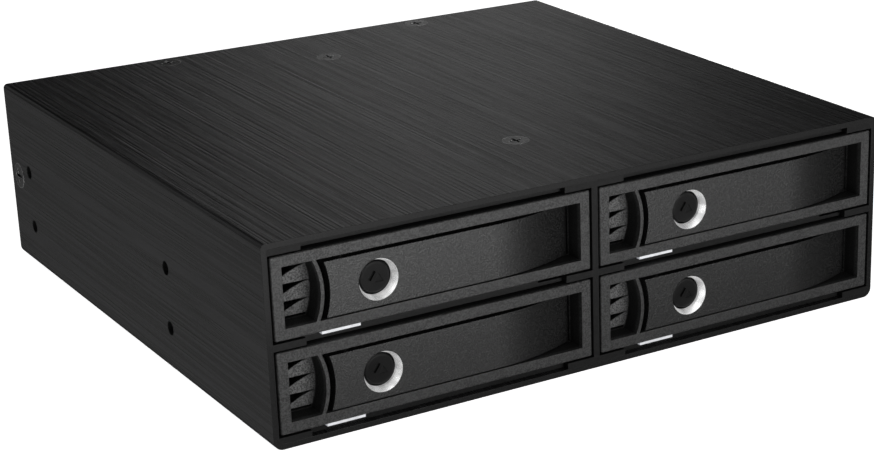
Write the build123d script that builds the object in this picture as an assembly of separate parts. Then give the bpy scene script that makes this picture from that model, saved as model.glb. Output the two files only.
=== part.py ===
from build123d import *
from math import asin, cos, degrees
import os

# Four-bay hot-swap cage for 2.5-inch drives, the size of one half-height 5.25-inch drive bay.
# Millimetres. +X is to the right seen from the front, +Y runs to the back and +Z is up.
# The origin is the centre of the underside. Most depths below are measured from the front face.
# A cutting tool reaches PAST the faces that it cuts, so that no skin is left on them.

# Cage: one folded sheet sleeve with an inner liner at the top and at the bottom.
WIDTH = 146.1
HEIGHT = 41.5
DEPTH = 138.5
SHEET = 1.2
LINER = 1.25
WALL = 1.4
TOP_EDGE_R = 1.0
BOTTOM_EDGE_R = 2.0
FRONT = -DEPTH / 2
INNER_X = WIDTH / 2 - SHEET
BAR = SHEET + LINER
BAY_H = (HEIGHT - 2 * BAR - WALL) / 2
BAY_W = INNER_X - WALL / 2
PAST = 1.0
FRAME_LENGTH = 118.5
LINER_LENGTH = 119.5

# The front edges of the liners and shelves step back between their flush ends.
STEP_DEPTH = 1.7
STEP_INNER_X = 7.0
STEP_OUTER_X = 65.0
NICK_WIDTH = 5.7
NICK_DEPTH = 4.0

# Countersunk M3 screws.
SCREW_HEAD_R = 3.0
SCREW_SHANK_R = 1.45
SCREW_HEAD_H = 1.1
SHEET_SCREW_L = 2.3
REAR_SCREW_L = 7.0
SCREW_SEAT_GAP = 0.03
CROSS_LENGTH = 3.4
CROSS_WIDTH = 0.7
CROSS_DEPTH = 0.8

# Pan-head screws: head radius, head height, edge rounding, slot length and slot width.
BOARD_PAN = (2.5, 1.4, 0.5, 2.8, 0.7)
SLED_PAN = (1.9, 1.1, 0.4, 2.0, 0.5)
PAN_SLOT_DEPTH = 0.6
BOARD_SCREW_L = 6.0
SLED_SCREW_L = 2.1
SLED_SCREW_FIT = 0.02

# Screw places: pairs near the rear edge, and two on the centre line.
REAR_SCREW_X = 33.8
REAR_SCREW_FROM_REAR = 4.0
CENTRE_SCREW_FROM_REAR = (21.7, 108.3)
SIDE_SCREW_Z = 20.5
SIDE_SCREW_FROM_REAR = 4.5

# Threaded M3 holes in each side, on the pitch of a standard 5.25-inch bay.
SIDE_HOLE_R = 1.5
SIDE_HOLE_D = (47.4, 47.4 + 79.25)
SIDE_HOLE_Z = (10.0, 23.1)

# Tray bezel. In a tray, u runs right from the bezel's left edge, d back from the front
# face and v up from the bezel's lower edge.
BEZEL_W = 70.15
BEZEL_H = 16.75
BEZEL_D = 12.0
BEZEL_BACK = 1.5
BEZEL_BORDER = 2.25
BEZEL_EDGE = 0.35
WINDOW_RIGHT = BEZEL_W - BEZEL_BORDER
WINDOW_TOP = BEZEL_H - BEZEL_BORDER
INLET_WALL = 0.7
INLET_RIB_GAP = 1.6
BACK_VENT_U = (31.0, 43.5, 56.0)
BACK_VENT_W = 10.5
BACK_VENT_V = (BEZEL_BORDER + 3.0, WINDOW_TOP - 1.5)
WEB_ROOT = 0.3
PIN_PRESS_FIT = 0.01
PIN_END_GAP = 0.8
PIN_PLAY = 0.1
PIN_LOW = 0.2
GAP_X = (BAY_W - BEZEL_W) / 2
GAP_Z = (BAY_H - BEZEL_H) / 2

# Arc rib between the air inlet and the lever, and the lever's matching left edge.
RIB_U = 10.3
RIB_R = 15.0
RIB_T = 0.75
RIB_V = 8.15
LEVER_LEFT_R = RIB_R + 1.575

# Louvres: three flat blades set back in the inlet, one under another. A round cut takes the
# upper left corner off each blade and leaves the air gap. The cut ends at a square shoulder.
BLADE_D = 4.8
BLADE_T = 0.9
BLADE_PITCH = 3.5
BLADE_TOP_V = 12.75
BLADE_LOW_V = 2.8
BLADE_COUNT = 3
BLADE_GAP = 0.15
BLADE_CUT_R = 20.0
BLADE_CUT_U = 13.6
BLADE_CUT_DROP = 19.67
SHOULDER_U = 4.0
SHOULDER_DROP = 2.1

# Release lever: flat at the left, then a round curve back to its free right end.
LEVER_BOTTOM = BEZEL_BORDER + 0.3
LEVER_TOP = WINDOW_TOP - 0.75
LEVER_RIGHT = 67.2
LEVER_T = 2.0
LEVER_RIM_T = 3.4
LEVER_RIM = 1.1
LEVER_RIM_START = 29.5
LEVER_FLAT_END = 48.3
LEVER_CURVE_R = 42.0
HINGE_U = 15.275
HINGE_D = 2.4
HINGE_BARREL_R = 1.9
HINGE_PIN_R = 0.75
HINGE_BORE_R = 0.8

# Lock: a bright conical ring in the lever round a recessed dial on a sprung plunger.
LOCK_U = 22.175
LOCK_V = 7.95
RING_FRONT_R = 4.22
RING_OUTER_R = 4.3
RING_BORE_R = 3.585
RING_CONE_D = 1.37
DIAL_R = 3.2
DIAL_FACE_D = 1.4
DIAL_T = 1.2
DIAL_EDGE_R = 0.45
DIAL_STUB_R = 1.2
DIAL_STUB_L = 2.0
DIAL_SLOT = (2.1, 0.75, 0.5)
DIAL_SLOT_TILT = 56.0
DIAL_SLOT_U = -0.75
DIAL_SLOT_V = 0.45
POINTER = ((-0.15, -1.05), (1.75, -1.05), (0.75, 0.75))
POINTER_DEPTH = 0.2
STUB_END_GAP = 0.1
PLUNGER_R = 3.2
PLUNGER_BACK = 8.0
PLUNGER_POCKET_R = 2.3
PLUNGER_POCKET_D = 5.2
BOSS_R = 4.4
BOSS_BORE_R = 3.28
BOSS_FRONT = 4.6
SPRING_R = 1.75
SPRING_WIRE_R = 0.25
SPRING_TURNS = 5
RUNNING_FIT = 0.05

# Light pipe: a bar under the bezel's lower edge, and a stem that runs back in the sled.
BAR_U = 9.775
BAR_W = 8.2
BAR_H = 0.58
BAR_D = (0.25, 1.4)
BAR_TOP_GAP = 0.02
STEM_FRONT_GAP = 0.1
STEM_END_GAP = 0.5
STEM_U = 12.0
STEM_W = 3.0
STEM_V = (0.05, 0.85)
STEM_GROOVE_W = 3.6
STEM_GROOVE_V = 1.0
SKIN = 0.9

# Sled: a flat sheet under the drive, fixed behind the bezel.
SLED_T = 0.8
SLED_END = 113.0
SLED_MARGIN = 0.3
SLED_FLANGE_V = 4.4
SLED_FLANGE_INSET = 6.0
COOLING_SLOT = (38.0, 9.0)
COOLING_SLOT_U = BEZEL_W / 2 + 5.0
COOLING_SLOT_D = (36.0, 54.0, 72.0, 90.0)
SINK_EDGE = 0.4
SLED_SCREW_U = (20.0, 54.0)
SLED_SCREW_V = 3.3
SLED_SCREW_R = 1.0
DRIVE_HOLE_DU = 30.86
DRIVE_HOLE_D = (25.9, 102.5)
DRIVE_HOLE_R = 1.6
DRIVE_PAD_R = 3.2
DRIVE_PAD_H = 0.6

# Backplane board, its connectors and the fans behind it.
BOARD_D = 121.0
BOARD_T = 1.6
BOARD_X = 71.2
BOARD_Z = (2.7, 38.8)
SIDE_VENT_X = (33.5, 69.0)
SIDE_VENT_V = (8.8, 15.2)
LOW_VENT_X = (-69.0, -45.0)
LOW_VENT_V = (1.8, 7.6)
DRIVE_PLUG = (36.5, 9.0, 5.0)
DRIVE_DATA_SLOT = (-16.0, 5.0)
DRIVE_POWER_SLOT = (6.4, 16.6)
DRIVE_SLOT_H = 1.4
DRIVE_SLOT_L = 5.0
DRIVE_KEY_X = 16.0
DRIVE_KEY_W = 1.2
DRIVE_KEY_LOW = 1.6
DRIVE_PLUG_DX = 13.4
DRIVE_PLUG_DV = 4.9
DATA_PLUG_X = 23.6
DATA_PLUG_W = 16.5
POWER_PLUG_W = 25.0
PLUG_H = 6.2
PLUG_L = 12.2
PLUG_WALL = 0.9
PLUG_CAVITY_L = 8.0
TONGUE_INSET = 2.2
TONGUE_L = 7.0
TONGUE_ROOT = 0.5
TONGUE_LOW = 0.2
TONGUE_TOP = 1.0
TONGUE_KEY_W = 1.2
TONGUE_KEY_LOW = 1.3
PLUG_Z = (12.0, 29.0)
PLUG_OPENING_MARGIN = 0.8
STANDOFFS = ((-23.6, 20.5), (23.6, 20.5), (0.0, 5.2), (0.0, 36.3))
STANDOFF_R = 2.2
REAR_D = DEPTH - SHEET
FAN_X = 50.5
FAN_SIZE = 35.0
FAN_T = 10.0
FAN_BORE_R = 16.4
FAN_HOLE_X = 14.5
FAN_HUB_R = 9.0
FAN_TIP_R = 15.8
FAN_BLADES = 7
FAN_SHAFT_R = 0.8
FAN_CORNER_R = 2.5
FAN_HOLE_R = 1.6
FAN_BASE_T = 1.2
FAN_BASE_R = FAN_HUB_R - 0.5
FAN_STRUT_W = 1.6
FAN_STRUT_OVERLAP = 0.6
MOTOR_R = 6.6
MOTOR_FRONT_GAP = 3.6
SHAFT_END_GAP = 0.6
ROTOR_FRONT_GAP = 0.9
ROTOR_BACK_GAP = 1.8
HUB_WALL = 1.6
HUB_FACE_T = 1.2
HUB_EDGE_R = 1.0
BLADE_PITCH_ANGLE = 38.0
FAN_BLADE_CHORD = 7.6
FAN_BLADE_T = 0.8
FAN_BLADE_HALF_D = 2.9
TAB_W = 12.0
TAB_L = 8.0
GUARD_RINGS = ((3.4, 6.4), (7.6, 10.6), (11.8, 14.8))
GUARD_SPOKE = 1.5


def block(x, y, z):
    """A box given by its low and high value along each axis."""
    size = (x[1] - x[0], y[1] - y[0], z[1] - z[0])
    return Pos((x[0] + x[1]) / 2, (y[0] + y[1]) / 2, (z[0] + z[1]) / 2) * Box(*size)


def rod(x, z, radius, y):
    """A cylinder along Y between two depths."""
    upright = Cylinder(radius, y[1] - y[0], align=(Align.CENTER, Align.CENTER, Align.MIN))
    return Pos(x, y[0], z) * Rot(-90, 0, 0) * upright


def cone_along_y(x, z, near_r, far_r, y):
    """A cone along Y: near_r at the lower depth and far_r at the higher one."""
    upright = Cone(near_r, far_r, y[1] - y[0], align=(Align.CENTER, Align.CENTER, Align.MIN))
    return Pos(x, y[0], z) * Rot(-90, 0, 0) * upright


def post(x, y, radius, z):
    """A cylinder along Z between two heights."""
    return Pos(x, y, z[0]) * Cylinder(radius, z[1] - z[0], align=(Align.CENTER, Align.CENTER, Align.MIN))


def at_depth(*depths):
    """Turn depths from the front face into Y values."""
    values = tuple(FRONT + d for d in depths)
    return values if len(values) > 1 else values[0]


# ---------------------------------------------------------------------------- screws


def screw(length):
    """A countersunk cross-head screw: head face in the plane z = 0, shank towards -Z."""
    head = Pos(0, 0, -SCREW_HEAD_H) * Cone(
        SCREW_SHANK_R, SCREW_HEAD_R, SCREW_HEAD_H, align=(Align.CENTER, Align.CENTER, Align.MIN)
    )
    shank = post(0, 0, SCREW_SHANK_R, (-length, -SCREW_HEAD_H))
    slot = Box(CROSS_LENGTH, CROSS_WIDTH, 2 * CROSS_DEPTH)
    return head + shank - slot - Rot(0, 0, 90) * slot


def screw_seat(length):
    """The space that a screw takes, with a little room round it."""
    head = Pos(0, 0, -SCREW_HEAD_H) * Cone(
        SCREW_SHANK_R + SCREW_SEAT_GAP,
        SCREW_HEAD_R + SCREW_SEAT_GAP,
        SCREW_HEAD_H,
        align=(Align.CENTER, Align.CENTER, Align.MIN),
    )
    return head + post(0, 0, SCREW_SHANK_R + SCREW_SEAT_GAP, (-length - PAST, 0))


def pan_screw(sizes, shank_r, length):
    """A pan-head cross screw: the head stands on the plane z = 0, and the shank runs towards -Z."""
    head_r, head_h, edge_r, slot_l, slot_w = sizes
    head = post(0, 0, head_r, (0, head_h))
    head = fillet(head.faces().sort_by(Axis.Z)[-1].edges(), edge_r)
    slot = Pos(0, 0, head_h) * Box(slot_l, slot_w, 2 * PAN_SLOT_DEPTH)
    return head + post(0, 0, shank_r, (-length, 0)) - slot - Rot(0, 0, 90) * slot


def shell_screw_places():
    """Where the sheet screws sit on the top, underside and sides of the shell."""
    rear_y = at_depth(DEPTH - REAR_SCREW_FROM_REAR)
    spots = [(-REAR_SCREW_X, rear_y), (REAR_SCREW_X, rear_y)]
    spots += [(0, at_depth(DEPTH - back)) for back in CENTRE_SCREW_FROM_REAR]
    places = [Pos(x, y, HEIGHT) for x, y in spots]
    places += [Pos(x, y, 0) * Rot(180, 0, 0) for x, y in spots]
    side_y = at_depth(DEPTH - SIDE_SCREW_FROM_REAR)
    for side in (-1, 1):
        places.append(Pos(side * WIDTH / 2, side_y, SIDE_SCREW_Z) * Rot(0, 90 * side, 0))
    return places


def rear_screw_places():
    """Where screws go through the rear plate: four for each fan and one for each stand-off."""
    spots = list(STANDOFFS)
    for x in (-FAN_X, FAN_X):
        for dx in (-FAN_HOLE_X, FAN_HOLE_X):
            for dz in (-FAN_HOLE_X, FAN_HOLE_X):
                spots.append((x + dx, HEIGHT / 2 + dz))
    return [Pos(x, DEPTH / 2, z) * Rot(-90, 0, 0) for x, z in spots]


# ------------------------------------------------------------------------ fixed cage


def outer_shell():
    """The folded sleeve, open at the front and back."""
    body = block((-WIDTH / 2, WIDTH / 2), at_depth(0, DEPTH), (0, HEIGHT))
    long_edges = body.edges().filter_by(Axis.Y).sort_by(Axis.Z)
    body = fillet(long_edges[:2], BOTTOM_EDGE_R)
    long_edges = [
        edge
        for edge in body.edges().filter_by(Axis.Y)
        if edge.center().Z > HEIGHT - SHEET and abs(edge.center().X) > INNER_X
    ]
    body = fillet(long_edges, TOP_EDGE_R)
    inside = block((-INNER_X, INNER_X), at_depth(-PAST, DEPTH + PAST), (SHEET, HEIGHT - SHEET))
    inside = fillet(inside.edges().filter_by(Axis.Y).sort_by(Axis.Z)[:2], BOTTOM_EDGE_R - SHEET)
    body -= inside
    for place in shell_screw_places():
        body -= place * screw_seat(SHEET_SCREW_L)
    for d in SIDE_HOLE_D:
        for z in SIDE_HOLE_Z:
            hole = Pos(0, at_depth(d), z) * Rot(0, 90, 0) * Cylinder(SIDE_HOLE_R, WIDTH + 2 * PAST)
            body -= hole
    return body


def stepped_plate(z, length, x_parts):
    """A level plate whose front edge steps back between its flush ends."""
    plate = block((-INNER_X, INNER_X), at_depth(0, length), z)
    for side in x_parts:
        step_x = sorted((side * STEP_INNER_X, side * STEP_OUTER_X))
        plate -= block(step_x, at_depth(-PAST, STEP_DEPTH), (z[0] - PAST, z[1] + PAST))
    return plate


def liner(z, seat_side):
    """The top or bottom liner, with the holes that the centre screws bite into."""
    plate = stepped_plate(z, LINER_LENGTH, (-1, 1))
    for place in shell_screw_places()[:8]:
        if place.position.Z == seat_side:
            plate -= place * screw_seat(SHEET_SCREW_L)
    return plate


def top_liner():
    return liner((HEIGHT - BAR, HEIGHT - SHEET), HEIGHT)


def bottom_liner():
    plate = liner((SHEET, BAR), 0)
    corners = [
        edge
        for edge in plate.edges().filter_by(Axis.Y)
        if edge.center().Z < SHEET + LINER / 2 and abs(edge.center().X) > STEP_OUTER_X
    ]
    return fillet(corners, BOTTOM_EDGE_R - SHEET)


def centre_divider():
    return block((-WALL / 2, WALL / 2), at_depth(0, FRAME_LENGTH), (BAR, HEIGHT - BAR))


def shelf(side):
    """One shelf, from the divider to a side wall, with a shallow nick in its upper edge."""
    z = (BAR + BAY_H, BAR + BAY_H + WALL)
    plate = stepped_plate(z, FRAME_LENGTH, (side,))
    half = sorted((side * WALL / 2, side * INNER_X))
    plate &= block(half, at_depth(0, FRAME_LENGTH), z)
    right_end = STEP_OUTER_X if side > 0 else -STEP_INNER_X
    nick_x = (right_end - NICK_WIDTH, right_end)
    return plate - block(nick_x, at_depth(0, STEP_DEPTH + NICK_DEPTH), (z[1] - WALL / 2, z[1] + PAST))


def finger_guard(x):
    """The slots of a pressed fan grille, as one tool body."""
    rings = []
    through = at_depth(REAR_D - PAST, DEPTH + PAST)
    for inner, outer in GUARD_RINGS:
        tube = rod(x, HEIGHT / 2, outer, through)
        rings.append(tube - rod(x, HEIGHT / 2, inner, through))
    centre = Pos(x, at_depth(REAR_D + SHEET / 2), HEIGHT / 2)
    spoke = Box(2 * FAN_SIZE, SHEET + 2 * PAST, GUARD_SPOKE)
    cross = centre * spoke + centre * Rot(0, 90, 0) * spoke
    return [ring - cross for ring in rings]


def plug_places():
    """Centre and width of each of the six rear connectors."""
    places = []
    for z in PLUG_Z:
        places += [(-DATA_PLUG_X, z, DATA_PLUG_W), (DATA_PLUG_X, z, DATA_PLUG_W), (0, z, POWER_PLUG_W)]
    return places


def rear_plate():
    """The back of the cage, with bent tabs for the shell's screws."""
    plate = block((-INNER_X, INNER_X), at_depth(REAR_D, DEPTH), (SHEET, HEIGHT - SHEET))
    corners = plate.edges().filter_by(Axis.Y).sort_by(Axis.Z)[:2]
    plate = fillet(corners, BOTTOM_EDGE_R - SHEET)
    tab_y = at_depth(REAR_D - TAB_L, REAR_D + SHEET / 2)
    for x in (-REAR_SCREW_X, REAR_SCREW_X):
        tab_x = (x - TAB_W / 2, x + TAB_W / 2)
        plate += block(tab_x, tab_y, (SHEET, 2 * SHEET))
        plate += block(tab_x, tab_y, (HEIGHT - 2 * SHEET, HEIGHT - SHEET))
    for side in (-1, 1):
        tab_x = sorted((side * (INNER_X - SHEET), side * INNER_X))
        plate += block(tab_x, tab_y, (SIDE_SCREW_Z - TAB_W / 2, SIDE_SCREW_Z + TAB_W / 2))
    for place in shell_screw_places():
        plate -= place * screw_seat(SHEET_SCREW_L)
    for place in rear_screw_places():
        plate -= place * screw_seat(REAR_SCREW_L)
    for x in (-FAN_X, FAN_X):
        plate -= finger_guard(x)
    for x, z, width in plug_places():
        half_w = width / 2 + PLUG_OPENING_MARGIN
        half_h = PLUG_H / 2 + PLUG_OPENING_MARGIN
        through = at_depth(REAR_D - PAST, DEPTH + PAST)
        plate -= block((x - half_w, x + half_w), through, (z - half_h, z + half_h))
    return plate


# -------------------------------------------------------------- board and connectors


def bay_centres():
    """The four bays: name, centre in X, and height of the bezel's lower edge."""
    centre = WALL / 2 + BAY_W / 2
    low = BAR + GAP_Z
    high = low + BAY_H + WALL
    return (
        ("top_left", -centre, high),
        ("top_right", centre, high),
        ("bottom_left", -centre, low),
        ("bottom_right", centre, low),
    )


def backplane_board():
    """The circuit board across the back of the bays, with vents beside the connectors."""
    y = at_depth(BOARD_D, BOARD_D + BOARD_T)
    board = block((-BOARD_X, BOARD_X), y, BOARD_Z)
    cut_y = at_depth(BOARD_D - PAST, BOARD_D + BOARD_T + PAST)
    for low in (bay_centres()[0][2], bay_centres()[2][2]):
        for side in (-1, 1):
            vent_x = sorted(side * x for x in SIDE_VENT_X)
            board -= block(vent_x, cut_y, [low + v for v in SIDE_VENT_V])
        board -= block(LOW_VENT_X, cut_y, [low + v for v in LOW_VENT_V])
    for x, z in STANDOFFS:
        board -= rod(x, z, SCREW_SHANK_R + SCREW_SEAT_GAP, cut_y)
    return board


def drive_connector(x, z):
    """One 22-way socket: a body with a data slot and a wider power slot."""
    width, length, height = DRIVE_PLUG
    y = at_depth(BOARD_D - length, BOARD_D)
    body = block((x - width / 2, x + width / 2), y, (z - height / 2, z + height / 2))
    slot_y = at_depth(BOARD_D - length - PAST, BOARD_D - length + DRIVE_SLOT_L)
    slot_z = (z - DRIVE_SLOT_H / 2, z + DRIVE_SLOT_H / 2)
    for low_x, high_x in (DRIVE_DATA_SLOT, DRIVE_POWER_SLOT):
        body -= block((x + low_x, x + high_x), slot_y, slot_z)
    for key_x in (x - DRIVE_KEY_X, x + DRIVE_KEY_X):
        key = (key_x - DRIVE_KEY_W / 2, key_x + DRIVE_KEY_W / 2)
        body -= block(key, slot_y, (z - DRIVE_KEY_LOW, slot_z[1]))
    return body


def drive_connectors():
    return [drive_connector(x + DRIVE_PLUG_DX, low + DRIVE_PLUG_DV) for name, x, low in bay_centres()]


def rear_plug(x, z, width):
    """A shrouded plug that stands on the board's back and faces the rear."""
    start = BOARD_D + BOARD_T
    end = start + PLUG_L
    body = block((x - width / 2, x + width / 2), at_depth(start, end), (z - PLUG_H / 2, z + PLUG_H / 2))
    half_w = width / 2 - PLUG_WALL
    half_h = PLUG_H / 2 - PLUG_WALL
    floor_d = end - PLUG_CAVITY_L
    body -= block((x - half_w, x + half_w), at_depth(floor_d, end + PAST), (z - half_h, z + half_h))
    tongue_y = at_depth(floor_d - TONGUE_ROOT, floor_d + TONGUE_L)
    left = x - width / 2 + TONGUE_INSET
    right = x + width / 2 - TONGUE_INSET
    body += block((left, right), tongue_y, (z - TONGUE_LOW, z + TONGUE_TOP))
    return body + block((left, left + TONGUE_KEY_W), tongue_y, (z - TONGUE_KEY_LOW, z + TONGUE_TOP))


def data_connectors():
    return [rear_plug(*place) for place in plug_places() if place[2] == DATA_PLUG_W]


def power_connectors():
    return [rear_plug(*place) for place in plug_places() if place[2] == POWER_PLUG_W]


def board_standoffs():
    """Hexagonal pillars that carry the board off the rear plate."""
    pillars = []
    length = REAR_D - BOARD_D - BOARD_T
    for x, z in STANDOFFS:
        hexagon = extrude(RegularPolygon(STANDOFF_R, 6), length)
        pillar = Pos(x, at_depth(BOARD_D + BOARD_T), z) * Rot(-90, 0, 0) * hexagon
        bore_r = SCREW_SHANK_R + SCREW_SEAT_GAP
        pillars.append(pillar - rod(x, z, bore_r, at_depth(BOARD_D, DEPTH)))
    return pillars


def board_screws():
    """Pan-head screws through the board into the pillars."""
    pan = Rot(90, 0, 0) * pan_screw(BOARD_PAN, SCREW_SHANK_R, BOARD_SCREW_L)
    return [Pos(x, at_depth(BOARD_D), z) * pan for x, z in STANDOFFS]


# ------------------------------------------------------------------------------ fans


def fan_frame(x):
    """A square fan frame with its motor base held on four struts at the rear."""
    near = REAR_D - FAN_T
    z = HEIGHT / 2
    half = FAN_SIZE / 2
    frame = block((x - half, x + half), at_depth(near, REAR_D), (z - half, z + half))
    frame = fillet(frame.edges().filter_by(Axis.Y), FAN_CORNER_R)
    frame -= rod(x, z, FAN_BORE_R, at_depth(near - PAST, REAR_D + PAST))
    strut_l = FAN_BORE_R + FAN_STRUT_OVERLAP
    strut = Pos(strut_l / 2, 0, 0) * Box(strut_l, FAN_BASE_T, FAN_STRUT_W)
    centre = Pos(x, at_depth(REAR_D - FAN_BASE_T / 2), z)
    for turn in range(4):
        frame += centre * Rot(0, 45 + 90 * turn, 0) * strut
    frame += rod(x, z, FAN_BASE_R, at_depth(REAR_D - FAN_BASE_T, REAR_D))
    frame += rod(x, z, MOTOR_R, at_depth(near + MOTOR_FRONT_GAP, REAR_D - FAN_BASE_T / 2))
    frame -= rod(x, z, FAN_SHAFT_R + RUNNING_FIT, at_depth(near, REAR_D - SHAFT_END_GAP))
    for dx in (-FAN_HOLE_X, FAN_HOLE_X):
        for dz in (-FAN_HOLE_X, FAN_HOLE_X):
            frame -= rod(x + dx, z + dz, FAN_HOLE_R, at_depth(near - PAST, REAR_D + PAST))
    return frame


def fan_rotor(x):
    """Hub cup, shaft and pitched blades."""
    near = REAR_D - FAN_T + ROTOR_FRONT_GAP
    far = REAR_D - ROTOR_BACK_GAP
    z = HEIGHT / 2
    inner_r = FAN_HUB_R - HUB_WALL
    hub = rod(x, z, FAN_HUB_R, at_depth(near, far))
    hub = fillet(hub.faces().sort_by(Axis.Y)[0].edges(), HUB_EDGE_R)
    hub -= rod(x, z, inner_r, at_depth(near + HUB_FACE_T, far + PAST))
    hub += rod(x, z, FAN_SHAFT_R, at_depth(near + HUB_FACE_T / 2, far))
    length = FAN_TIP_R - FAN_HUB_R + HUB_WALL / 2
    blade = Box(length, FAN_BLADE_CHORD, FAN_BLADE_T)
    blade = Pos(FAN_TIP_R - length / 2, 0, 0) * Rot(BLADE_PITCH_ANGLE, 0, 0) * blade
    blade = blade & rod(0, 0, FAN_TIP_R, (-FAN_BLADE_HALF_D, FAN_BLADE_HALF_D))
    for turn in range(FAN_BLADES):
        angle = 360 / FAN_BLADES * turn
        hub += Pos(x, at_depth((near + far) / 2), z) * Rot(0, angle, 0) * blade
    return hub


# ----------------------------------------------------------------------------- trays


def louvre_blade(top_v):
    """A flat blade from the inlet's left wall to the arc rib, with its round-cut corner."""
    low_v = max(top_v - BLADE_PITCH, BLADE_LOW_V)
    first = BEZEL_BORDER - WEB_ROOT
    depths = (BLADE_D, BLADE_D + BLADE_T)
    plate = block((first, RIB_U), depths, (low_v, top_v - BLADE_GAP))
    kept = rod(BLADE_CUT_U, top_v - BLADE_CUT_DROP, BLADE_CUT_R, depths)
    shoulder = block((first, SHOULDER_U), depths, (low_v, top_v - SHOULDER_DROP))
    return plate & kept + shoulder


def lock_boss():
    """The guide tube of the plunger, closed by the bezel's back wall."""
    back = BEZEL_D - BEZEL_BACK
    tube = rod(LOCK_U, LOCK_V, BOSS_R, (BOSS_FRONT, back + WEB_ROOT))
    return tube - rod(LOCK_U, LOCK_V, BOSS_BORE_R, (BOSS_FRONT - PAST, back))


def tray_bezel():
    """The moulded front of a tray: border, louvres, arc rib, plunger guide and back wall."""
    back = BEZEL_D - BEZEL_BACK
    body = block((0, BEZEL_W), (0, BEZEL_D), (0, BEZEL_H))
    body = fillet(body.edges().filter_by(Axis.Y), BEZEL_EDGE)
    body = chamfer(body.faces().sort_by(Axis.Y)[0].edges(), BEZEL_EDGE / 2)
    body -= block((BEZEL_BORDER, WINDOW_RIGHT), (-PAST, back), (BEZEL_BORDER, WINDOW_TOP))
    inlet_u = (BEZEL_BORDER, RIB_U - INLET_RIB_GAP)
    body -= block(inlet_u, (0, BEZEL_D + PAST), (BEZEL_BORDER + INLET_WALL, WINDOW_TOP - INLET_WALL))
    for start in BACK_VENT_U:
        body -= block((start, start + BACK_VENT_W), (0, BEZEL_D + PAST), BACK_VENT_V)
    reach = rod(RIB_U - RIB_R, RIB_V, RIB_R, (-PAST, BEZEL_D))
    blades = [louvre_blade(BLADE_TOP_V - BLADE_PITCH * n) & reach for n in range(BLADE_COUNT)]
    inside_v = (BEZEL_BORDER - WEB_ROOT, WINDOW_TOP + WEB_ROOT)
    opening = block((BEZEL_BORDER - WEB_ROOT, BEZEL_W), (0, back + WEB_ROOT), inside_v)
    for blade in blades:
        body += blade & opening
    rib = rod(RIB_U - RIB_R, RIB_V, RIB_R + RIB_T / 2, (0, back + WEB_ROOT))
    rib -= rod(RIB_U - RIB_R, RIB_V, RIB_R - RIB_T / 2, (-PAST, BEZEL_D))
    body += rib & block((BEZEL_BORDER, BEZEL_W), (0, BEZEL_D), inside_v)
    body += lock_boss()
    body -= post(HINGE_U, HINGE_D, HINGE_PIN_R + PIN_PRESS_FIT, (-PAST, BEZEL_H - PIN_END_GAP))
    groove_u = (STEM_U - STEM_GROOVE_W / 2, STEM_U + STEM_GROOVE_W / 2)
    body -= block(groove_u, (SKIN, BEZEL_D + PAST), (-PAST, STEM_GROOVE_V))
    for u in SLED_SCREW_U:
        body -= rod(u, SLED_SCREW_V, SLED_SCREW_R, (back - PAST, BEZEL_D + PAST))
    return body


def drive_hole_places():
    """The four screw holes under a 2.5-inch drive, as u and d."""
    centre = BEZEL_W / 2
    return [(centre + side * DRIVE_HOLE_DU, d) for side in (-1, 1) for d in DRIVE_HOLE_D]


def tray_sled():
    """The floor under the drive, open along the light pipe's stem, and the strip across its front end."""
    floor = block((SLED_MARGIN, BEZEL_W - SLED_MARGIN), (BEZEL_D, SLED_END), (0, SLED_T))
    for u, d in drive_hole_places():
        floor += post(u, d, DRIVE_PAD_R, (0, SLED_T + DRIVE_PAD_H))
    for u, d in drive_hole_places():
        wide_r = DRIVE_PAD_R - SINK_EDGE
        sink = Cone(wide_r, DRIVE_HOLE_R, SLED_T, align=(Align.CENTER, Align.CENTER, Align.MIN))
        floor -= Pos(u, d, 0) * sink
        floor -= post(u, d, DRIVE_HOLE_R, (-PAST, SLED_T + DRIVE_PAD_H + PAST))
    slot = extrude(SlotOverall(*COOLING_SLOT), SLED_T + 2 * PAST)
    for d in COOLING_SLOT_D:
        floor -= Pos(COOLING_SLOT_U, d, -PAST) * slot
    strip_u = (SLED_FLANGE_INSET, BEZEL_W - SLED_FLANGE_INSET)
    strip = block(strip_u, (BEZEL_D, BEZEL_D + SLED_T), (SLED_T, SLED_FLANGE_V))
    for u in SLED_SCREW_U:
        strip -= rod(u, SLED_SCREW_V, SLED_SCREW_R, (BEZEL_D - PAST, BEZEL_D + SLED_T + PAST))
    groove_u = (STEM_U - STEM_GROOVE_W / 2, STEM_U + STEM_GROOVE_W / 2)
    groove = block(groove_u, (BEZEL_D - PAST, SLED_END + PAST), (-PAST, STEM_GROOVE_V))
    return [floor - groove, strip - groove]


def sled_screws():
    """Two small pan-head screws that hold the sled's front strip to the bezel."""
    pan = Rot(-90, 0, 0) * pan_screw(SLED_PAN, SLED_SCREW_R - SLED_SCREW_FIT, SLED_SCREW_L)
    return [Pos(u, BEZEL_D + SLED_T, SLED_SCREW_V) * pan for u in SLED_SCREW_U]


def light_pipe():
    """A clear strip that carries light from the board to a bar below the bezel."""
    bar = block((BAR_U, BAR_U + BAR_W), BAR_D, (-BAR_H, -BAR_TOP_GAP))
    neck_u = (STEM_U - STEM_W / 2, STEM_U + STEM_W / 2)
    start = SKIN + STEM_FRONT_GAP
    neck = block(neck_u, (start, BAR_D[1]), (-BAR_H, STEM_V[1]))
    return bar + neck + block(neck_u, (start, SLED_END - STEM_END_GAP), STEM_V)


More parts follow.
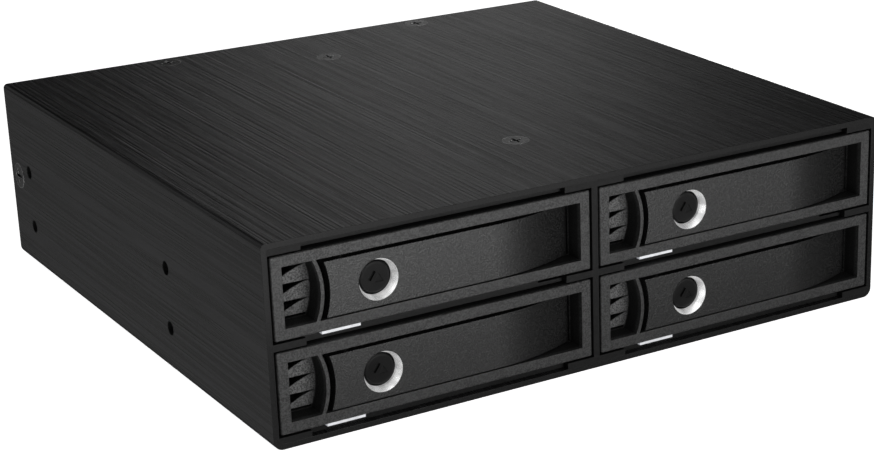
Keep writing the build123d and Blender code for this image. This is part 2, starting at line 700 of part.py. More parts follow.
def lever_outline(thickness):
    """The lever in plan: flat front, then a round curve back, at one wall thickness."""
    reach = LEVER_RIGHT - LEVER_FLAT_END
    start_u = RIB_U
    inner_r = LEVER_CURVE_R - thickness
    outer_turn = asin(reach / LEVER_CURVE_R)
    inner_turn = asin(reach / inner_r)
    centre = (LEVER_FLAT_END, LEVER_CURVE_R)
    outer_end = (LEVER_RIGHT, LEVER_CURVE_R * (1 - cos(outer_turn)))
    inner_end = (LEVER_RIGHT, LEVER_CURVE_R - inner_r * cos(inner_turn))
    outline = Line((start_u, 0), (LEVER_FLAT_END, 0))
    outline += CenterArc(centre, LEVER_CURVE_R, -90, degrees(outer_turn))
    outline += Line(outer_end, inner_end)
    outline += CenterArc(centre, inner_r, -90, degrees(inner_turn))
    outline += Line((LEVER_FLAT_END, thickness), (start_u, thickness))
    outline += Line((start_u, thickness), (start_u, 0))
    return make_face(outline)


def lever_slab(thickness, v):
    """A slab of the lever between two heights."""
    return Pos(0, 0, v[0]) * extrude(lever_outline(thickness), v[1] - v[0])


def release_lever():
    """The flap that ejects the tray: a plate with a stiff rim, a hinge barrel and a lock hole."""
    v = (LEVER_BOTTOM, LEVER_TOP)
    body = lever_slab(LEVER_T, v)
    rim = lever_slab(LEVER_RIM_T, v) & block((LEVER_RIM_START, BEZEL_W), (-PAST, BEZEL_D), v)
    pocket_u = (LEVER_RIM_START + LEVER_RIM, LEVER_RIGHT - LEVER_RIM)
    rim -= block(pocket_u, (-PAST, BEZEL_D), (v[0] + LEVER_RIM, v[1] - LEVER_RIM))
    body += rim
    body -= rod(RIB_U - RIB_R, RIB_V, LEVER_LEFT_R, (-PAST, BEZEL_D))
    body += post(HINGE_U, HINGE_D, HINGE_BARREL_R, v)
    body -= post(HINGE_U, HINGE_D, HINGE_BORE_R, (0, BEZEL_H))
    return body - rod(LOCK_U, LOCK_V, RING_OUTER_R, (-PAST, BEZEL_D))


def lock_ring():
    """The bright ring: a cone that narrows from the lever's face to the dial."""
    ring = rod(LOCK_U, LOCK_V, RING_OUTER_R, (0, LEVER_T))
    ring -= cone_along_y(LOCK_U, LOCK_V, RING_FRONT_R, RING_BORE_R, (0, RING_CONE_D))
    return ring - rod(LOCK_U, LOCK_V, RING_BORE_R, (-PAST, BEZEL_D))


def hinge_pin():
    return post(HINGE_U, HINGE_D, HINGE_PIN_R, (PIN_LOW, BEZEL_H - PIN_END_GAP - PIN_PLAY))


def lock_dial():
    """The round face that turns, with a driver slot and a small pointer."""
    back = DIAL_FACE_D + DIAL_T
    disc = rod(LOCK_U, LOCK_V, DIAL_R, (DIAL_FACE_D, back))
    disc = fillet(disc.faces().sort_by(Axis.Y)[0].edges(), DIAL_EDGE_R)
    disc += rod(LOCK_U, LOCK_V, DIAL_STUB_R, (back, back + DIAL_STUB_L))
    length, width, depth = DIAL_SLOT
    slot = Rot(0, -DIAL_SLOT_TILT, 0) * Box(length, 2 * depth, width)
    disc -= Pos(LOCK_U + DIAL_SLOT_U, DIAL_FACE_D, LOCK_V + DIAL_SLOT_V) * slot
    mark = Rot(90, 0, 0) * extrude(make_face(Polyline(*POINTER, close=True)), PAST)
    return disc - Pos(LOCK_U, DIAL_FACE_D + POINTER_DEPTH, LOCK_V) * mark


def lock_plunger():
    """The sliding body behind the dial, with a spring pocket in its back."""
    front = DIAL_FACE_D + DIAL_T + RUNNING_FIT
    body = rod(LOCK_U, LOCK_V, PLUNGER_R, (front, PLUNGER_BACK))
    bore_y = (front - PAST, front + DIAL_STUB_L + STUB_END_GAP)
    body -= rod(LOCK_U, LOCK_V, DIAL_STUB_R + RUNNING_FIT, bore_y)
    return body - rod(LOCK_U, LOCK_V, PLUNGER_POCKET_R, (PLUNGER_POCKET_D, PLUNGER_BACK + PAST))


def button_spring():
    """A small compression spring between the plunger and the bezel's back wall."""
    start = PLUNGER_POCKET_D + SPRING_WIRE_R
    end = BEZEL_D - BEZEL_BACK - SPRING_WIRE_R
    pitch = (end - start) / SPRING_TURNS
    path = Helix(pitch, end - start, SPRING_R)
    profile = Plane(origin=path @ 0, z_dir=path % 0) * Circle(SPRING_WIRE_R)
    return Pos(LOCK_U, start, LOCK_V) * Rot(-90, 0, 0) * sweep(profile, path=path)


TRAY_PIECES = {
    "tray_bezel": tray_bezel,
    "tray_sled": tray_sled,
    "sled_screws": sled_screws,
    "light_pipe": light_pipe,
    "release_lever": release_lever,
    "lock_ring": lock_ring,
    "hinge_pin": hinge_pin,
    "lock_dial": lock_dial,
    "lock_plunger": lock_plunger,
    "button_spring": button_spring,
}


def cage_nodes():
    """Every fixed node and both fan rotors."""
    seats = shell_screw_places()
    return {
        "outer_shell": outer_shell(),
        "top_liner": top_liner(),
        "bottom_liner": bottom_liner(),
        "centre_divider": centre_divider(),
        "shelf_left": shelf(-1),
        "shelf_right": shelf(1),
        "rear_plate": rear_plate(),
        "backplane_board": backplane_board(),
        "drive_connectors": drive_connectors(),
        "data_connectors": data_connectors(),
        "power_connectors": power_connectors(),
        "board_standoffs": board_standoffs(),
        "board_screws": board_screws(),
        "shell_screws": [place * screw(SHEET_SCREW_L) for place in seats],
        "rear_screws": [place * screw(REAR_SCREW_L) for place in rear_screw_places()],
        "fan_frame_left": fan_frame(-FAN_X),
        "fan_frame_right": fan_frame(FAN_X),
        "fan_rotor_left": fan_rotor(-FAN_X),
        "fan_rotor_right": fan_rotor(FAN_X),
    }


def tray_nodes():
    """The four trays: each piece is made once and set in each bay."""
    nodes = {}
    for piece, make in TRAY_PIECES.items():
        shape = make()
        solids = shape if isinstance(shape, list) else [shape]
        for name, x, low in bay_centres():
            place = Pos(x - BEZEL_W / 2, FRONT, low)
            nodes[f"{piece}_{name}"] = [place * solid for solid in solids]
    return nodes


def write_node(name, shape):
    """Write one node as a STEP file."""
    if isinstance(shape, list):
        shape = Compound(children=shape) if len(shape) > 1 else shape[0]
    export_step(shape, f"parts/{name}.step")


def main():
    os.makedirs("parts", exist_ok=True)
    nodes = cage_nodes()
    nodes.update(tray_nodes())
    for name, shape in nodes.items():
        write_node(name, shape)
    print(len(nodes), "nodes")


main()
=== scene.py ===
"""Looks of the four-bay drive cage: materials, floor, lights and camera around the fixed CAD frame."""
import math

import bpy
from mathutils import Matrix, Vector

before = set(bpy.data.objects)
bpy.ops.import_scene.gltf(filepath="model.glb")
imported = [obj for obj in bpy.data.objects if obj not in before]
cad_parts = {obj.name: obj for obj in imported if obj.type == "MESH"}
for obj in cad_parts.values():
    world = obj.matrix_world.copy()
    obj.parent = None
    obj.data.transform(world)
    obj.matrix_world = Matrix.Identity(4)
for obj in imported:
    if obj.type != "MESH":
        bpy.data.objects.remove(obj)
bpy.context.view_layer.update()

# Brushing runs along Y, so textures are stretched along it.
BRUSH_AXIS = (0.0, 1.0, 0.0)

# The front face, and depths behind it: where painted shade darkens the inside, where the louvre blades are
# painted lighter, and where the bar's painted glow ends.
FRONT_Y = -0.06925
INSIDE_FROM = 0.0006
INSIDE_TO = 0.0016
BLADES_FRONT = (0.0044, 0.0047)
BLADES_BACK = (0.0049, 0.0052)
BAR_LIT_TO = 0.0016
BAR_DARK_FROM = 0.0022

# Camera: turned from straight ahead, raised and rolled by these angles.
CAMERA_AZIMUTH = -33.435
CAMERA_ELEVATION = 20.661
CAMERA_ROLL = -0.645
CAMERA_PLACE = (-0.22934, -0.42250, 0.17408)
CAMERA_LENS = 90.9
CAMERA_SENSOR = 36.0
CAMERA_CLIP = (0.01, 50.0)
CAMERA_SHIFT = (-0.2002, 0.0818)

FLOOR_HALF = 12.0
FLOOR_DROP = 0.00002
FLOOR_GLOW = 0.97
# Painted glows of the lock rings and of the light bars' fronts.
RING_PAINTED_GLOW = 0.45
BAR_PAINTED_GLOW = 0.30
# The room's soft patches of light: azimuth from +Y towards +X, spread, rise and strength.
ROOM_DIM = 0.02
ROOM_LIGHTS = (
    (176.0, (24.0, 38.0), (-90.0, -85.0, -6.0, 8.0), 1.9),
    (29.5, (1.0, 8.0), (-12.0, 2.0, 34.0, 60.0), 0.42),
    (-60.0, (20.0, 48.0), (-80.0, -45.0, -8.0, 6.0), 0.66),
    (-130.0, (20.0, 34.0), (-60.0, -45.0, 2.0, 12.0), 0.45),
    (75.0, (15.0, 30.0), (-60.0, -45.0, -4.0, 6.0), 0.45),
    (-45.0, (30.0, 44.0), (4.0, 14.0, 45.0, 58.0), 0.35),
    (110.0, (30.0, 40.0), (10.0, 20.0, 50.0, 60.0), 0.30),
)
# A sheet of painted shade before the front, standing in for the floor's contact shadow that the front
# reflects: its reach, sides, drop below the ground and how clear it is.
GEL_REACH = 0.070
GEL_SIDES = (-0.15, 0.40)
SHEET_DARKEST_TO = 0.050
GEL_CLEAR_FROM = 0.068
SHEET_SHADE_PASS = 0.25
GEL_DROP = 0.001
# Each softbox: place, side length and power. All are aimed at one point in the object.
AIM_POINT = (0.0, 0.0, 0.02)
SOFT_BOXES = {
    "key_light": ((-1.3, -0.9, 2.1), 1.3, 6.0),
    "top_light": ((0.5, 0.3, 2.6), 1.8, 5.0),
    "front_light": ((0.35, -2.0, 0.30), 1.0, 20.0),
    "rear_light": ((0.9, 1.6, -0.45), 1.0, 22.0),
}


# ------------------------------------------------------------------ node tree helpers


def add(tree, kind, inputs=None, **settings):
    """Add a node, set its plain settings, and set or link each named input."""
    node = tree.nodes.new(kind)
    for name, value in settings.items():
        setattr(node, name, value)
    for key, value in (inputs or {}).items():
        if isinstance(value, bpy.types.NodeSocket):
            tree.links.new(value, node.inputs[key])
        else:
            node.inputs[key].default_value = value
    return node


def place(tree):
    """Position on the object at rest, in metres."""
    return add(tree, "ShaderNodeTexCoord").outputs["Object"]


def noise(tree, scale, detail=2.0, roughness=0.5, offset=(0.0, 0.0, 0.0)):
    """A noise value, with its own scale per metre along each axis."""
    scaled = add(
        tree, "ShaderNodeMapping", {"Vector": place(tree), "Scale": scale, "Location": offset}
    ).outputs["Vector"]
    return add(
        tree,
        "ShaderNodeTexNoise",
        {"Vector": scaled, "Scale": 1.0, "Detail": detail, "Roughness": roughness},
    ).outputs["Fac"]


def remap(tree, value, low, high, to_low=0.0, to_high=1.0, smooth=True):
    """Map a value from one range to another, held at both ends."""
    return add(
        tree,
        "ShaderNodeMapRange",
        {"Value": value, "From Min": low, "From Max": high, "To Min": to_low, "To Max": to_high},
        interpolation_type="SMOOTHSTEP" if smooth else "LINEAR",
    ).outputs["Result"]


def math_node(tree, operation, first, second):
    return add(tree, "ShaderNodeMath", {0: first, 1: second}, operation=operation).outputs["Value"]


def blend_colour(tree, factor, first, second):
    """Mix two colours by a factor. Each colour is a plain triple or a socket."""
    node = add(tree, "ShaderNodeMix", {"Factor": factor}, data_type="RGBA")
    for socket, colour in ((node.inputs[6], first), (node.inputs[7], second)):
        if isinstance(colour, bpy.types.NodeSocket):
            tree.links.new(colour, socket)
        else:
            socket.default_value = (*colour, 1.0)
    return node.outputs[2]


def grey(value, tint=0.0):
    """A grey, a little bluer for a positive tint."""
    return (value, value, value * (1.0 + tint))


def near_edge(tree, radius):
    """1 close to an edge and 0 on flat parts."""
    rounded = add(tree, "ShaderNodeBevel", {"Radius": radius}, samples=4).outputs["Normal"]
    flat = add(tree, "ShaderNodeNewGeometry").outputs["Normal"]
    agree = add(
        tree, "ShaderNodeVectorMath", {0: rounded, 1: flat}, operation="DOT_PRODUCT"
    ).outputs["Value"]
    return remap(tree, agree, 0.985, 0.80)


def bump(tree, height, distance, strength=1.0, under=None):
    """Turn a height value into a normal, over another normal if one is given."""
    inputs = {"Height": height, "Distance": distance, "Strength": strength}
    if under is not None:
        inputs["Normal"] = under
    return add(tree, "ShaderNodeBump", inputs).outputs["Normal"]


def soft_edges(tree, radius):
    return add(tree, "ShaderNodeBevel", {"Radius": radius}, samples=4).outputs["Normal"]


def facing(tree, axis, low, high):
    """1 where the surface faces along the axis, either way."""
    normal = add(tree, "ShaderNodeTexCoord").outputs["Normal"]
    along = add(
        tree, "ShaderNodeVectorMath", {0: normal, 1: axis}, operation="DOT_PRODUCT"
    ).outputs["Value"]
    size = math_node(tree, "ABSOLUTE", along, 0.0)
    return remap(tree, size, low, high)


def new_material(name, **fixed):
    """A material with one Principled shader. Fixed values are set on its own sockets."""
    material = bpy.data.materials.new(name)
    material.use_nodes = True
    tree = material.node_tree
    tree.nodes.clear()
    shader = tree.nodes.new("ShaderNodeBsdfPrincipled")
    output = tree.nodes.new("ShaderNodeOutputMaterial")
    tree.links.new(shader.outputs["BSDF"], output.inputs["Surface"])
    for key, value in fixed.items():
        shader.inputs[key.replace("_", " ")].default_value = value
    return material, tree, shader


def finish_shader(tree, shader, colour, roughness, normal):
    tree.links.new(colour, shader.inputs["Base Color"])
    tree.links.new(roughness, shader.inputs["Roughness"])
    tree.links.new(normal, shader.inputs["Normal"])


# -------------------------------------------------------------------------- materials


def anodised_shell():
    """Black anodised aluminium, brushed along Y, with plain satin cut edges."""
    material, tree, shader = new_material("anodised_shell", Metallic=0.0, IOR=1.5)
    shader.inputs["Specular IOR Level"].default_value = 0.16
    shader.inputs["Anisotropic"].default_value = 0.5
    tangent = add(tree, "ShaderNodeCombineXYZ", {"X": 0.02, "Y": 1.0, "Z": 0.01}).outputs["Vector"]
    tree.links.new(tangent, shader.inputs["Tangent"])
    coarse = noise(tree, (1500.0, 9.0, 1500.0), 2.0, 0.6)
    fine = noise(tree, (3600.0, 26.0, 3600.0), 2.0, 0.6, (3.0, 1.0, 7.0))
    patches = noise(tree, (22.0, 9.0, 22.0), 2.0, 0.5)
    end_face = facing(tree, BRUSH_AXIS, 0.5, 0.9)
    streaks = math_node(tree, "ADD", coarse, fine)
    streak_light = remap(tree, streaks, 0.72, 1.28)
    dark = remap(tree, noise(tree, (1500.0, 22.0, 1500.0), 1.0, 0.5, (9.0, 4.0, 2.0)), 0.30, 0.40)
    brushed = blend_colour(tree, streak_light, grey(0.005), grey(0.023, 0.04))
    brushed = blend_colour(tree, dark, grey(0.001), brushed)
    brushed = blend_colour(tree, remap(tree, patches, 0.3, 0.7, 0.0, 0.25), brushed, grey(0.014))
    colour = blend_colour(tree, end_face, brushed, grey(0.012))
    lighter_edges = math_node(tree, "MULTIPLY", near_edge(tree, 0.00025), remap(tree, coarse, 0.35, 0.65, 0.1, 0.5))
    colour = blend_colour(tree, lighter_edges, colour, grey(0.045))
    roughness = remap(tree, streaks, 0.72, 1.28, 0.30, 0.24, smooth=False)
    flatten = remap(tree, end_face, 0.0, 1.0, 1.0, 0.0)
    height = math_node(tree, "MULTIPLY", streaks, flatten)
    normal = bump(tree, height, 0.00011, 0.7, soft_edges(tree, 0.0002))
    finish_shader(tree, shader, colour, roughness, normal)
    return material


def painted_steel(name, base, specular, rough):
    """Satin black paint on sheet steel, with a fine orange peel."""
    material, tree, shader = new_material(name, Metallic=0.0, IOR=1.5)
    shader.inputs["Specular IOR Level"].default_value = specular
    grain = noise(tree, (1800.0, 1800.0, 1800.0), 3.0, 0.6)
    patches = noise(tree, (60.0, 60.0, 60.0), 2.0, 0.5)
    colour = blend_colour(tree, remap(tree, grain, 0.3, 0.7), grey(base * 0.7), grey(base * 1.3))
    colour = blend_colour(tree, remap(tree, patches, 0.3, 0.7, 0.0, 0.3), colour, grey(base * 0.8))
    colour = blend_colour(
        tree, math_node(tree, "MULTIPLY", near_edge(tree, 0.00015), 0.4), colour, grey(base * 3.0)
    )
    roughness = remap(tree, patches, 0.3, 0.7, rough - 0.05, rough + 0.05)
    normal = bump(tree, grain, 0.000015, 0.5)
    finish_shader(tree, shader, colour, roughness, normal)
    return material


def grained_plastic(name, base, specular, rough, relief, blade_painted_light=0.0, inside_painted_shade=0.0):
    """Spark-eroded ABS with a fine even grain and slightly rubbed, lighter edges.

    blade_painted_light paints the louvre blades lighter, as painted light where they lie in the recess's
    shade, and inside_painted_shade paints near-black shade on what lies behind the front.
    """
    material, tree, shader = new_material(name, Metallic=0.0, IOR=1.5)
    shader.inputs["Specular IOR Level"].default_value = specular
    grain = noise(tree, (3100.0, 3100.0, 3100.0), 2.0, 0.6)
    fine = noise(tree, (6500.0, 6500.0, 6500.0), 1.0, 0.5, (5.0, 2.0, 8.0))
    patches = noise(tree, (60.0, 40.0, 60.0), 1.0, 0.5)
    colour = blend_colour(tree, remap(tree, grain, 0.36, 0.64), grey(base * 0.2), grey(base * 1.8))
    colour = blend_colour(tree, remap(tree, patches, 0.3, 0.7, 0.0, 0.3), colour, grey(base * 0.85))
    depth = add(tree, "ShaderNodeSeparateXYZ", {"Vector": place(tree)}).outputs["Y"]
    past_front = remap(tree, depth, FRONT_Y + BLADES_FRONT[0], FRONT_Y + BLADES_FRONT[1])
    before_back = remap(tree, depth, FRONT_Y + BLADES_BACK[1], FRONT_Y + BLADES_BACK[0])
    blades = math_node(tree, "MULTIPLY", past_front, before_back)
    # Painted shade: surfaces deeper than the front, such as the walls of the louvre recess, are painted
    # near-black and made rougher.
    inside = remap(tree, depth, FRONT_Y + INSIDE_FROM, FRONT_Y + INSIDE_TO, 0.0, inside_painted_shade)
    colour = blend_colour(tree, inside, colour, grey(0.002))
    # Painted light: the louvre blades, which lie in the recess's shade, are painted lighter.
    lit = blend_colour(tree, remap(tree, grain, 0.36, 0.64), grey(0.04), grey(0.16))
    colour = blend_colour(tree, math_node(tree, "MULTIPLY", blades, blade_painted_light), colour, lit)
    lighter_edges = math_node(tree, "MULTIPLY", near_edge(tree, 0.00022), 0.35)
    colour = blend_colour(tree, lighter_edges, colour, grey(base * 2.2))
    roughness = remap(tree, grain, 0.3, 0.7, rough + 0.07, rough - 0.07)
    roughness = math_node(tree, "ADD", roughness, math_node(tree, "MULTIPLY", inside, 0.3))
    height = math_node(tree, "ADD", grain, math_node(tree, "MULTIPLY", fine, 0.5))
    normal = bump(tree, height, relief, 0.7, soft_edges(tree, 0.00018))
    finish_shader(tree, shader, colour, roughness, normal)
    return material


def smooth_plastic(name, base, specular, rough):
    """Close-grained black moulding, nearly smooth, with a faint flow pattern."""
    material, tree, shader = new_material(name, Metallic=0.0, IOR=1.5)
    shader.inputs["Specular IOR Level"].default_value = specular
    grain = noise(tree, (4200.0, 4200.0, 4200.0), 2.0, 0.5)
    flow = noise(tree, (160.0, 60.0, 160.0), 3.0, 0.6)
    colour = blend_colour(tree, remap(tree, flow, 0.3, 0.7), grey(base * 0.75), grey(base * 1.25))
    colour = blend_colour(tree, remap(tree, grain, 0.55, 0.8, 0.0, 0.3), colour, grey(base * 1.8))
    # Painted highlight: edges are painted lighter, standing in for light caught along them, with a little
    # wear.
    lighter_edges = math_node(tree, "MULTIPLY", near_edge(tree, 0.00012), 0.5)
    colour = blend_colour(tree, lighter_edges, colour, grey(base * 8.0))
    roughness = remap(tree, flow, 0.3, 0.7, rough - 0.04, rough + 0.06)
    normal = bump(tree, grain, 0.000008, 0.5, soft_edges(tree, 0.0001))
    finish_shader(tree, shader, colour, roughness, normal)
    return material


def metal(name, colour_low, colour_high, rough, brush, wear_and_highlight=None):
    """Bare or plated metal with drawn marks at the given scale along each axis."""
    material, tree, shader = new_material(name, Metallic=1.0)
    marks = noise(tree, brush, 3.0, 0.65)
    clouds = noise(tree, (140.0, 140.0, 140.0), 3.0, 0.55, (2.0, 6.0, 1.0))
    colour = blend_colour(tree, remap(tree, marks, 0.3, 0.7), colour_low, colour_high)
    colour = blend_colour(tree, remap(tree, clouds, 0.35, 0.7, 0.0, 0.45), colour, colour_low)
    # Where an edge colour is given, edges are painted lighter: rubbed wear together with painted
    # highlights.
    if wear_and_highlight is not None:
        lighter_edges = math_node(tree, "MULTIPLY", near_edge(tree, 0.0002), 0.8)
        colour = blend_colour(tree, lighter_edges, colour, wear_and_highlight)
    roughness = remap(tree, marks, 0.3, 0.7, rough + 0.08, rough - 0.06)
    normal = bump(tree, marks, 0.00001, 0.5, soft_edges(tree, 0.0001))
    finish_shader(tree, shader, colour, roughness, normal)
    return material


def circuit_board():
    """Dark green solder mask over copper runs, with scattered plated holes."""
    material, tree, shader = new_material("circuit_board", Metallic=0.0, IOR=1.5)
    shader.inputs["Specular IOR Level"].default_value = 0.5
    shader.inputs["Coat Weight"].default_value = 0.3
    shader.inputs["Coat Roughness"].default_value = 0.2
    scaled = add(
        tree, "ShaderNodeMapping", {"Vector": place(tree), "Scale": (260.0, 1.0, 420.0)}
    ).outputs["Vector"]
    runs = add(
        tree,
        "ShaderNodeTexVoronoi",
        {"Vector": scaled, "Scale": 1.0},
        feature="DISTANCE_TO_EDGE",
        distance="CHEBYCHEV",
    ).outputs["Distance"]
    copper = remap(tree, runs, 0.05, 0.09, 1.0, 0.0)
    weave = noise(tree, (1500.0, 1500.0, 1500.0), 2.0, 0.5)
    mask = blend_colour(tree, remap(tree, weave, 0.3, 0.7), (0.004, 0.020, 0.009), (0.006, 0.032, 0.014))
    colour = blend_colour(tree, copper, mask, (0.012, 0.070, 0.028))
    holes = add(
        tree,
        "ShaderNodeTexVoronoi",
        {"Vector": scaled, "Scale": 0.8, "Randomness": 0.55},
        feature="F1",
    ).outputs["Distance"]
    plated = remap(tree, holes, 0.06, 0.10, 1.0, 0.0)
    colour = blend_colour(tree, plated, colour, (0.32, 0.22, 0.08))
    roughness = remap(tree, weave, 0.3, 0.7, 0.32, 0.45)
    height = math_node(tree, "ADD", copper, math_node(tree, "MULTIPLY", weave, 0.2))
    normal = bump(tree, height, 0.00003, 0.6)
    finish_shader(tree, shader, colour, roughness, normal)
    return material


def bright_ring():
    """Turned and polished aluminium, with fine rings round each lock and painted glints.

    The lights leave the cone dull, so most of its brightness is a painted glow of its own, standing in for
    the bright surroundings it reflects; the front rim is painted dark as painted shade.
    """
    material, tree, shader = new_material("bright_ring", Metallic=0.9)
    # Painted glow on the cone, with painted glints from the noise below, standing in for reflected light.
    shader.inputs["Emission Strength"].default_value = RING_PAINTED_GLOW
    marks = noise(tree, (260.0, 5200.0, 260.0), 1.0, 0.5)
    glints = noise(tree, (420.0, 90.0, 420.0), 1.0, 0.5, (1.0, 3.0, 5.0))
    colour = blend_colour(tree, remap(tree, glints, 0.3, 0.7), grey(0.82), grey(0.97))
    colour = blend_colour(tree, remap(tree, marks, 0.3, 0.7, 0.0, 0.3), colour, grey(0.80))
    # Painted shade: the flat front rim is painted dark and given no glow, standing for the thin shadow
    # line round the lock.
    painted_shade_rim = facing(tree, BRUSH_AXIS, 0.7, 0.9)
    glow = blend_colour(tree, remap(tree, glints, 0.35, 0.65), grey(0.55), grey(1.0))
    tree.links.new(blend_colour(tree, painted_shade_rim, glow, grey(0.0)), shader.inputs["Emission Color"])
    colour = blend_colour(tree, painted_shade_rim, colour, grey(0.03))
    roughness = remap(tree, glints, 0.3, 0.7, 0.30, 0.18)
    normal = bump(tree, marks, 0.0000015, 0.5, soft_edges(tree, 0.00008))
    finish_shader(tree, shader, colour, roughness, normal)
    return material


def light_plastic():
    """Milky acrylic light guide. Only the bar at the front is pale and carries a painted glow; the stem
    behind it is dark.
    """
    material, tree, shader = new_material("light_plastic", Metallic=0.0, IOR=1.49)
    # Painted glow on the front bar, standing in for light scattered in the milky acrylic.
    shader.inputs["Emission Strength"].default_value = BAR_PAINTED_GLOW
    along = add(tree, "ShaderNodeSeparateXYZ", {"Vector": place(tree)}).outputs["Y"]
    front_bar = remap(tree, along, FRONT_Y + BAR_DARK_FROM, FRONT_Y + BAR_LIT_TO)
    glow = blend_colour(tree, front_bar, grey(0.0), (0.90, 0.93, 1.0))
    tree.links.new(glow, shader.inputs["Emission Color"])
    cloud = noise(tree, (500.0, 300.0, 500.0), 2.0, 0.5)
    grain = noise(tree, (3500.0, 3500.0, 3500.0), 2.0, 0.5)
    colour = blend_colour(tree, remap(tree, cloud, 0.3, 0.7), grey(0.50), grey(0.64, 0.02))
    colour = blend_colour(tree, front_bar, grey(0.02), colour)
    roughness = remap(tree, cloud, 0.3, 0.7, 0.30, 0.42)
    normal = bump(tree, grain, 0.00001, 0.4, soft_edges(tree, 0.0001))
    finish_shader(tree, shader, colour, roughness, normal)
    return material


def black_screw():
    """Blackened steel screw, rubbed bright round the cross recess, with painted highlights on those edges.
    """
    return metal(
        "black_screw", grey(0.035), grey(0.075), 0.30, (1800.0, 1800.0, 1800.0), wear_and_highlight=grey(0.75)
    )


def material_set():
    """One material for each kind of node."""
    frame_paint = painted_steel("black_frame", 0.010, 0.14, 0.42)
    rear_paint = painted_steel("rear_metal", 0.020, 0.35, 0.45)
    bezel = grained_plastic(
        "bezel_plastic", 0.030, 0.40, 0.38, 0.00006, blade_painted_light=0.8, inside_painted_shade=0.9
    )
    lever = grained_plastic("lever_plastic", 0.010, 0.56, 0.30, 0.00007)
    black = smooth_plastic("dial_plastic", 0.006, 0.10, 0.40)
    connector = smooth_plastic("connector_plastic", 0.012, 0.40, 0.38)
    fan = smooth_plastic("fan_plastic", 0.014, 0.40, 0.45)
    dark_steel = metal("dark_steel", grey(0.020), grey(0.035), 0.40, (1500.0, 1500.0, 1500.0))
    steel = metal("bright_steel", grey(0.42), grey(0.62), 0.28, (1500.0, 1500.0, 1500.0))
    brass = metal("brass_pillar", (0.45, 0.30, 0.11), (0.72, 0.52, 0.22), 0.30, (900.0, 300.0, 900.0))
    sled = metal("sled_metal", grey(0.36, 0.03), grey(0.52, 0.03), 0.36, (1400.0, 30.0, 1400.0))
    screw = black_screw()
    return {
        "outer_shell": anodised_shell(),
        "top_liner": frame_paint,
        "bottom_liner": frame_paint,
        "centre_divider": frame_paint,
        "shelf": frame_paint,
        "rear_plate": rear_paint,
        "backplane_board": circuit_board(),
        "drive_connectors": connector,
        "data_connectors": connector,
        "power_connectors": connector,
        "board_standoffs": brass,
        "board_screws": steel,
        "shell_screws": screw,
        "rear_screws": screw,
        "fan_frame": fan,
        "fan_rotor": fan,
        "tray_bezel": bezel,
        "tray_sled": sled,
        "sled_screws": steel,
        "light_pipe": light_plastic(),
        "release_lever": lever,
        "lock_ring": bright_ring(),
        "hinge_pin": dark_steel,
        "lock_dial": black,
        "lock_plunger": black,
        "button_spring": steel,
    }


def dress_nodes():
    """Give every CAD node the material of its kind."""
    materials = material_set()
    for name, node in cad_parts.items():
        kind = max((k for k in materials if name.startswith(k)), key=len)
        node.data.materials.clear()
        node.data.materials.append(materials[kind])
        for polygon in node.data.polygons:
            polygon.material_index = 0


# ------------------------------------------------------------------- floor and lights


def floor():
    """A large pale floor under the object."""
    mesh = bpy.data.meshes.new("studio_floor")
    half = FLOOR_HALF
    mesh.from_pydata(
        [(-half, -half, 0.0), (half, -half, 0.0), (half, half, 0.0), (-half, half, 0.0)],
        [],
        [(0, 1, 2, 3)],
    )
    plane = bpy.data.objects.new("studio_floor", mesh)
    bpy.context.scene.collection.objects.link(plane)
    material, tree, shader = new_material("studio_floor", Roughness=0.9)
    patches = noise(tree, (3.0, 3.0, 3.0), 2.0, 0.5)
    colour = blend_colour(tree, remap(tree, patches, 0.3, 0.7), grey(0.86), grey(0.88))
    tree.links.new(colour, shader.inputs["Base Color"])
    shader.inputs["Specular IOR Level"].default_value = 0.1
    shader.inputs["Emission Color"].default_value = (1.0, 1.0, 1.0, 1.0)
    shader.inputs["Emission Strength"].default_value = FLOOR_GLOW
    mesh.materials.append(material)
    plane.location.z = -FLOOR_DROP
    plane.visible_glossy = False
    plane.visible_diffuse = False
    plane.visible_shadow = False


def level_dot(tree, azimuth):
    """Cosine between a look at the room, laid flat, and an azimuth from +Y towards +X."""
    looking = add(tree, "ShaderNodeTexCoord").outputs["Generated"]
    flat = add(
        tree, "ShaderNodeVectorMath", {0: looking, 1: (1.0, 1.0, 0.0)}, operation="MULTIPLY"
    ).outputs["Vector"]
    unit = add(tree, "ShaderNodeVectorMath", {0: flat}, operation="NORMALIZE").outputs["Vector"]
    angle = math.radians(azimuth)
    ahead = (math.sin(angle), math.cos(angle), 0.0)
    return add(
        tree, "ShaderNodeVectorMath", {0: unit, 1: ahead}, operation="DOT_PRODUCT"
    ).outputs["Value"]


def room_light(tree, azimuth, spread, rise, strength):
    """A soft patch of light in the room.

    spread is (full, none), in degrees either side of the azimuth. rise is (none, full, full,
    none), in degrees of elevation from the lowest to the highest.
    """
    full, none = spread
    side = remap(
        tree, level_dot(tree, azimuth), math.cos(math.radians(none)), math.cos(math.radians(full))
    )
    looking = add(tree, "ShaderNodeTexCoord").outputs["Generated"]
    height = add(tree, "ShaderNodeSeparateXYZ", {"Vector": looking}).outputs["Z"]
    heights = [math.sin(math.radians(angle)) for angle in rise]
    up = remap(tree, height, heights[0], heights[1])
    down = remap(tree, height, heights[3], heights[2])
    patch = math_node(tree, "MULTIPLY", math_node(tree, "MULTIPLY", up, down), side)
    return math_node(tree, "MULTIPLY", patch, strength)


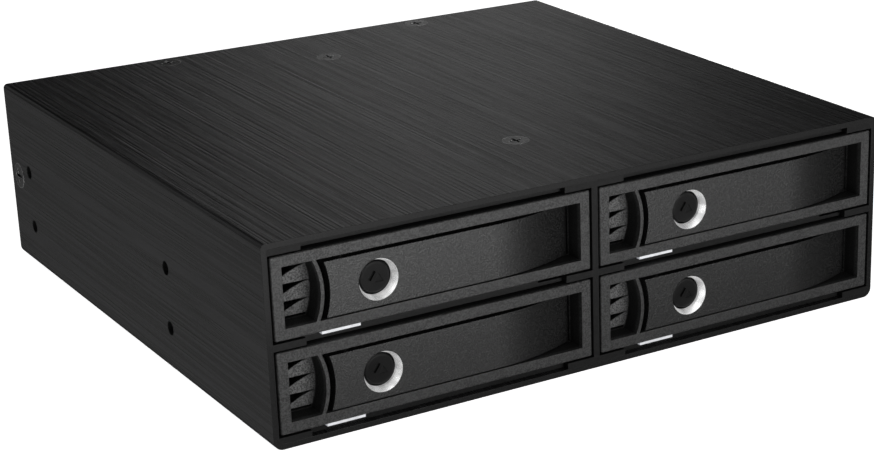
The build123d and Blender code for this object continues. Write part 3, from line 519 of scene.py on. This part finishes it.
def studio_world():
    """A dim room with soft patches of light, and plain white where the camera sees it."""
    world = bpy.data.worlds.new("studio")
    bpy.context.scene.world = world
    world.use_nodes = True
    tree = world.node_tree
    tree.nodes.clear()
    strength = ROOM_DIM
    for patch in ROOM_LIGHTS:
        strength = math_node(tree, "ADD", room_light(tree, *patch), strength)
    shown = add(tree, "ShaderNodeLightPath").outputs["Is Camera Ray"]
    room = add(tree, "ShaderNodeBackground", {"Color": (1.0, 1.0, 1.0, 1.0), "Strength": strength})
    plain = add(tree, "ShaderNodeBackground", {"Color": (1.0, 1.0, 1.0, 1.0), "Strength": 1.0})
    mixed = add(
        tree,
        "ShaderNodeMixShader",
        {0: shown, 1: room.outputs["Background"], 2: plain.outputs["Background"]},
    )
    add(tree, "ShaderNodeOutputWorld", {"Surface": mixed.outputs["Shader"]})


def painted_shade_sheet():
    """Painted shade: a sheet just below the ground, darkest close to the object, that dims what the front
    mirrors, standing in for the floor's contact shadow.
    """
    mesh = bpy.data.meshes.new("painted_shade_sheet")
    left, right = GEL_SIDES
    far = FRONT_Y - GEL_REACH
    mesh.from_pydata(
        [(left, far, 0.0), (right, far, 0.0), (right, FRONT_Y, 0.0), (left, FRONT_Y, 0.0)],
        [],
        [(0, 1, 2, 3)],
    )
    gel = bpy.data.objects.new("painted_shade_sheet", mesh)
    bpy.context.scene.collection.objects.link(gel)
    material = bpy.data.materials.new("painted_shade_sheet")
    material.use_nodes = True
    tree = material.node_tree
    tree.nodes.clear()
    along = add(tree, "ShaderNodeSeparateXYZ", {"Vector": place(tree)}).outputs["Y"]
    # Painted shade: the sheet passes less light close to the object.
    shade_pass = remap(tree, along, FRONT_Y - GEL_CLEAR_FROM, FRONT_Y - SHEET_DARKEST_TO, 1.0, SHEET_SHADE_PASS)
    tint = add(tree, "ShaderNodeCombineXYZ", {"X": shade_pass, "Y": shade_pass, "Z": shade_pass}).outputs["Vector"]
    shader = add(tree, "ShaderNodeBsdfTransparent", {"Color": tint})
    add(tree, "ShaderNodeOutputMaterial", {"Surface": shader.outputs["BSDF"]})
    mesh.materials.append(material)
    gel.location.z = -GEL_DROP
    gel.visible_camera = False
    gel.visible_shadow = False


def soft_box(name, location, size, power):
    """A square softbox aimed at the aim point."""
    light = bpy.data.lights.new(name, "AREA")
    light.shape = "SQUARE"
    light.size = size
    light.energy = power
    lamp = bpy.data.objects.new(name, light)
    bpy.context.scene.collection.objects.link(lamp)
    lamp.location = location
    aim = Vector(AIM_POINT) - Vector(location)
    lamp.rotation_euler = aim.to_track_quat("-Z", "Y").to_euler()
    lamp.visible_camera = False


def camera():
    """The camera, from its azimuth, elevation and roll."""
    azimuth, elevation, roll = (
        math.radians(a) for a in (CAMERA_AZIMUTH, CAMERA_ELEVATION, CAMERA_ROLL)
    )
    back = Vector((
        math.sin(azimuth) * math.cos(elevation),
        -math.cos(azimuth) * math.cos(elevation),
        math.sin(elevation),
    ))
    right = Vector((0.0, 0.0, 1.0)).cross(back).normalized()
    up = back.cross(right)
    rolled_right = math.cos(roll) * right + math.sin(roll) * up
    rolled_up = math.cos(roll) * up - math.sin(roll) * right
    turn = Matrix((rolled_right, rolled_up, back)).transposed().to_4x4()
    data = bpy.data.cameras.new("camera")
    data.lens = CAMERA_LENS
    data.sensor_width = CAMERA_SENSOR
    data.shift_x, data.shift_y = CAMERA_SHIFT
    data.clip_start, data.clip_end = CAMERA_CLIP
    eye = bpy.data.objects.new("camera", data)
    bpy.context.scene.collection.objects.link(eye)
    eye.matrix_world = Matrix.Translation(CAMERA_PLACE) @ turn
    bpy.context.scene.camera = eye


dress_nodes()
floor()
studio_world()
painted_shade_sheet()
for light_name, (light_place, light_size, light_power) in SOFT_BOXES.items():
    soft_box(light_name, light_place, light_size, light_power)
camera()
bpy.context.scene.view_settings.view_transform = "Standard"
